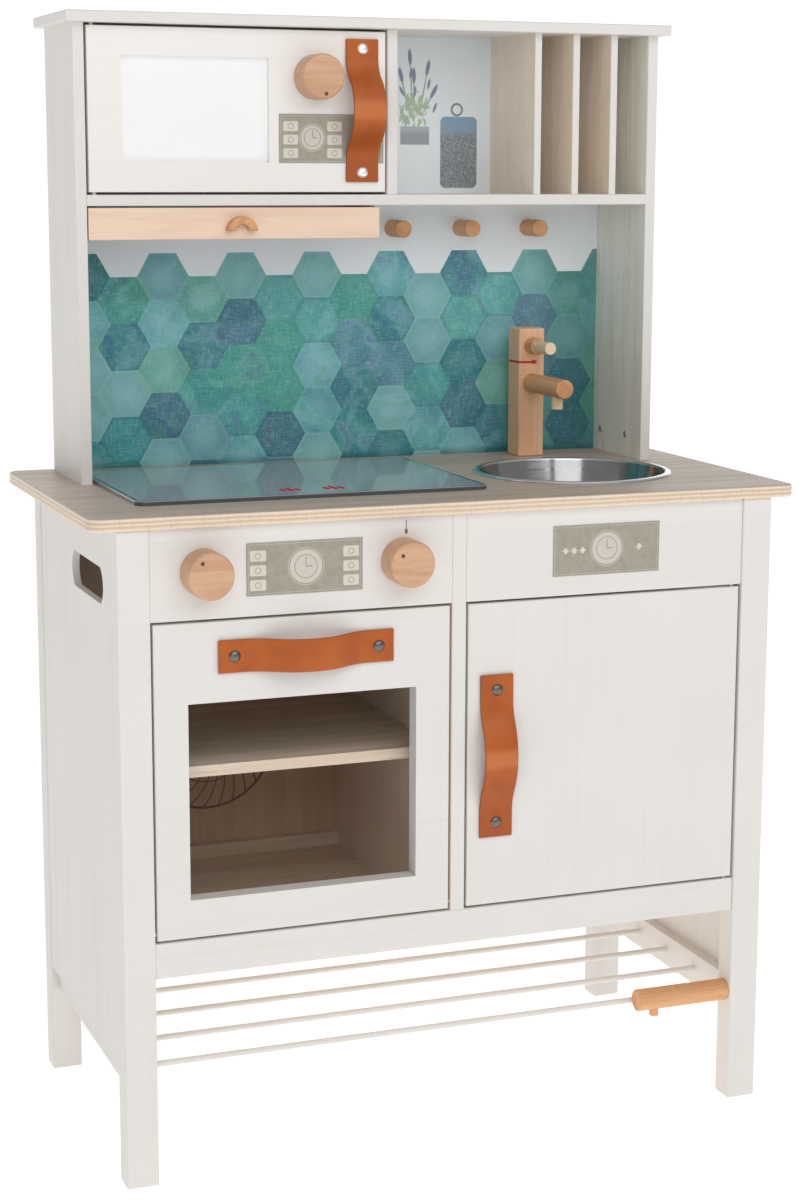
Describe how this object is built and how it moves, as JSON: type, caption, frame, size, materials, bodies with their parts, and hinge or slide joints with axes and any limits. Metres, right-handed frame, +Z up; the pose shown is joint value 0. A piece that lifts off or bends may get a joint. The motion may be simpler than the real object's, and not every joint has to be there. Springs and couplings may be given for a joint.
{
  "type": "play kitchen",
  "caption": "Free-standing wooden play kitchen: oven and cupboard with leather-pull doors, hob, sink and tap, dowel rack, and a hutch with microwave, niche and plate slots.",
  "frame": {"origin": "bottom centre of the overall bounding box, on the floor", "axes": "+Z up, front faces -Y, +X to the right seen from the front"},
  "size_m": [0.6, 0.324, 0.916],
  "materials": {
    "white_paint": "white-washed paint over wood, satin",
    "white_rods": "white painted dowel, satin",
    "worktop_print": "taupe laminate over plywood, satin, bare ply edge",
    "bare_plywood": "bare plywood, matt",
    "beech": "bare beech, satin",
    "pale_birch": "bare birch dowel, satin",
    "beech_dowel": "oiled beech dowel, satin",
    "visor_beech": "clear-lacquered beech, satin",
    "leather": "smooth cognac leather, satin",
    "black_glass": "black gloss acrylic with printed rings",
    "box_plastic": "black moulded plastic",
    "steel": "spun and brushed",
    "hardware": "polished",
    "pin_steel": "satin",
    "magnet": "nickel plated",
    "splash_print": "printed board with hexagon tiles, satin",
    "niche_print": "printed board with a plant and a board, satin",
    "back_print": "thin board, bare inside with a printed fan grille",
    "control_print": "printed plate with cream buttons, satin",
    "window_silver": "silvered acrylic, satin"
  },
  "bodies": {
    "frame": {"leg_front_left": "white_paint", "leg_front_right": "white_paint", "leg_rear_left": "white_paint", "leg_rear_right": "white_paint", "side_panel_left": "white_paint", "side_panel_right": "white_paint", "lower_rail_left": "white_paint", "lower_rail_right": "white_paint", "rack_rods": "white_rods", "towel_peg": "beech_dowel", "worktop": "worktop_print", "fascia_left": "white_paint", "fascia_right": "white_paint", "centre_partition": "white_paint", "front_apron": "white_paint", "cabinet_floor": "bare_plywood", "oven_shelf": "bare_plywood", "shelf_battens": "bare_plywood", "lower_back_panel": "back_print", "hob_glass": "black_glass", "hob_battery_box": "box_plastic", "tap_column": "beech", "tap_spout": "beech", "tap_outlet": "pale_birch", "hutch_side_left": "white_paint", "hutch_side_right": "white_paint", "hutch_roof": "white_paint", "hutch_shelf": "white_paint", "microwave_divider": "white_paint", "rack_dividers": "white_paint", "splash_panel": "splash_print", "hutch_back_panel": "niche_print", "hood_runners": "white_paint", "utensil_pegs": "beech_dowel", "oven_control_plate": "control_print", "cabinet_control_plate": "control_print", "hinge_pins": "pin_steel", "door_stops": "white_paint", "door_magnets": "magnet", "hutch_screws": "pin_steel"},
    "sink": {"sink_basin": "steel"},
    "tap_lever": {"tap_lever": "beech", "tap_lever_pin": "pale_birch"},
    "hood": {"hood_visor": "visor_beech", "hood_tray": "white_paint", "hood_pull": "beech"},
    "microwave_door": {"microwave_door": "white_paint", "microwave_window": "window_silver", "microwave_strap": "leather", "microwave_rivets": "hardware", "microwave_control_plate": "control_print"},
    "microwave_knob": {"microwave_knob": "beech"},
    "oven_door": {"oven_door": "white_paint", "oven_strap": "leather", "oven_rivets": "hardware"},
    "cabinet_door": {"cabinet_door": "white_paint", "cabinet_strap": "leather", "cabinet_rivets": "hardware"},
    "oven_knob_left": {"oven_knob_left": "beech"},
    "oven_knob_right": {"oven_knob_right": "beech"}
  },
  "joints": [
    {"name": "oven_door_hinge", "type": "hinge", "parent": "frame", "child": "oven_door", "pos_m": [-0.1295, -0.1335, 0.2055], "axis": [1, 0, 0], "range_deg": [0, 90]},
    {"name": "cabinet_door_hinge", "type": "hinge", "parent": "frame", "child": "cabinet_door", "pos_m": [0.246, -0.1335, 0.32575], "axis": [0, 0, 1], "range_deg": [0, 110]},
    {"name": "microwave_door_hinge", "type": "hinge", "parent": "frame", "child": "microwave_door", "pos_m": [-0.244, 0.0545, 0.839], "axis": [0, 0, -1], "range_deg": [0, 110]},
    {"name": "oven_knob_left_spin", "type": "hinge", "parent": "frame", "child": "oven_knob_left", "pos_m": [-0.21075, -0.138, 0.49], "axis": [0, -1, 0], "continuous": true},
    {"name": "oven_knob_right_spin", "type": "hinge", "parent": "frame", "child": "oven_knob_right", "pos_m": [-0.04825, -0.138, 0.49], "axis": [0, -1, 0], "continuous": true},
    {"name": "microwave_knob_spin", "type": "hinge", "parent": "microwave_door", "child": "microwave_knob", "pos_m": [-0.0565, 0.05, 0.867], "axis": [0, -1, 0], "continuous": true},
    {"name": "tap_lever_spin", "type": "hinge", "parent": "frame", "child": "tap_lever", "pos_m": [0.169, 0.1, 0.6355], "axis": [0, -1, 0], "continuous": true},
    {"name": "hood_slide", "type": "slide", "parent": "frame", "child": "hood", "axis": [0, -1, 0], "range_m": [0, 0.05]},
    {"name": "sink_lift", "type": "slide", "parent": "frame", "child": "sink", "axis": [0, 0, 1], "range_m": [0, 0.04]}
  ]
}
